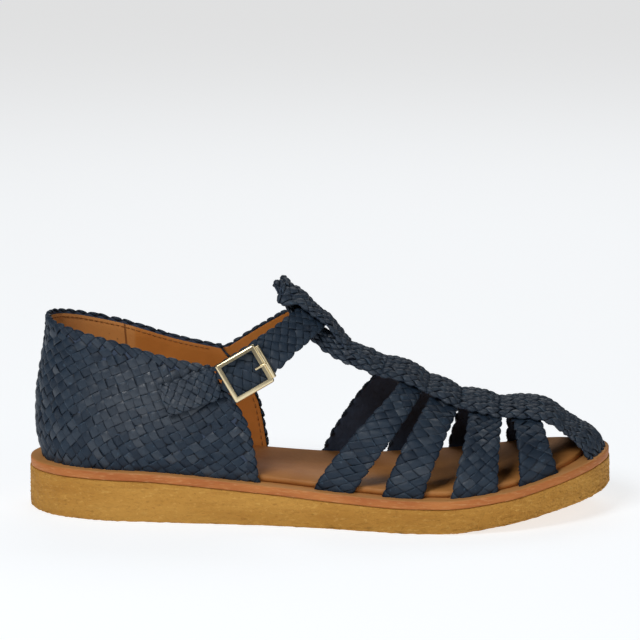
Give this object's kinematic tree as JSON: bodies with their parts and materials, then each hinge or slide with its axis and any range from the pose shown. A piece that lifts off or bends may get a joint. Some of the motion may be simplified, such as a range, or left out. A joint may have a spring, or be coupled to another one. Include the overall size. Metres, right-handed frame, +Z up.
{
  "type": "fisherman sandal",
  "caption": "Woven navy leather fisherman sandal for the right foot, with a T-bar, a buckled ankle strap and a honey crepe sole.",
  "frame": {"origin": "centre of the sole's plan box, on the ground plane under the sole", "axes": "+X towards the toe, +Y towards the inner side of the foot, +Z up; the buckle is on the -Y side"},
  "size_m": [0.268, 0.0973, 0.1078],
  "materials": {
    "navy_woven_leather": "satin, plaited strips with burnished high spots",
    "honey_crepe": "matte natural crepe with a crumbly grain",
    "terracotta_leather": "smooth trimmed edge",
    "tan_leather": "smooth, slightly waxed",
    "pale_gold": "polished"
  },
  "bodies": {
    "root": {"outsole": "honey_crepe", "midsole": "terracotta_leather", "insole": "tan_leather", "upper_quarter": "navy_woven_leather", "upper_vamp": "navy_woven_leather", "ankle_strap": "navy_woven_leather", "buckle_tab": "navy_woven_leather", "buckle_frame": "pale_gold", "buckle_prong": "pale_gold"}
  },
  "joints": []
}
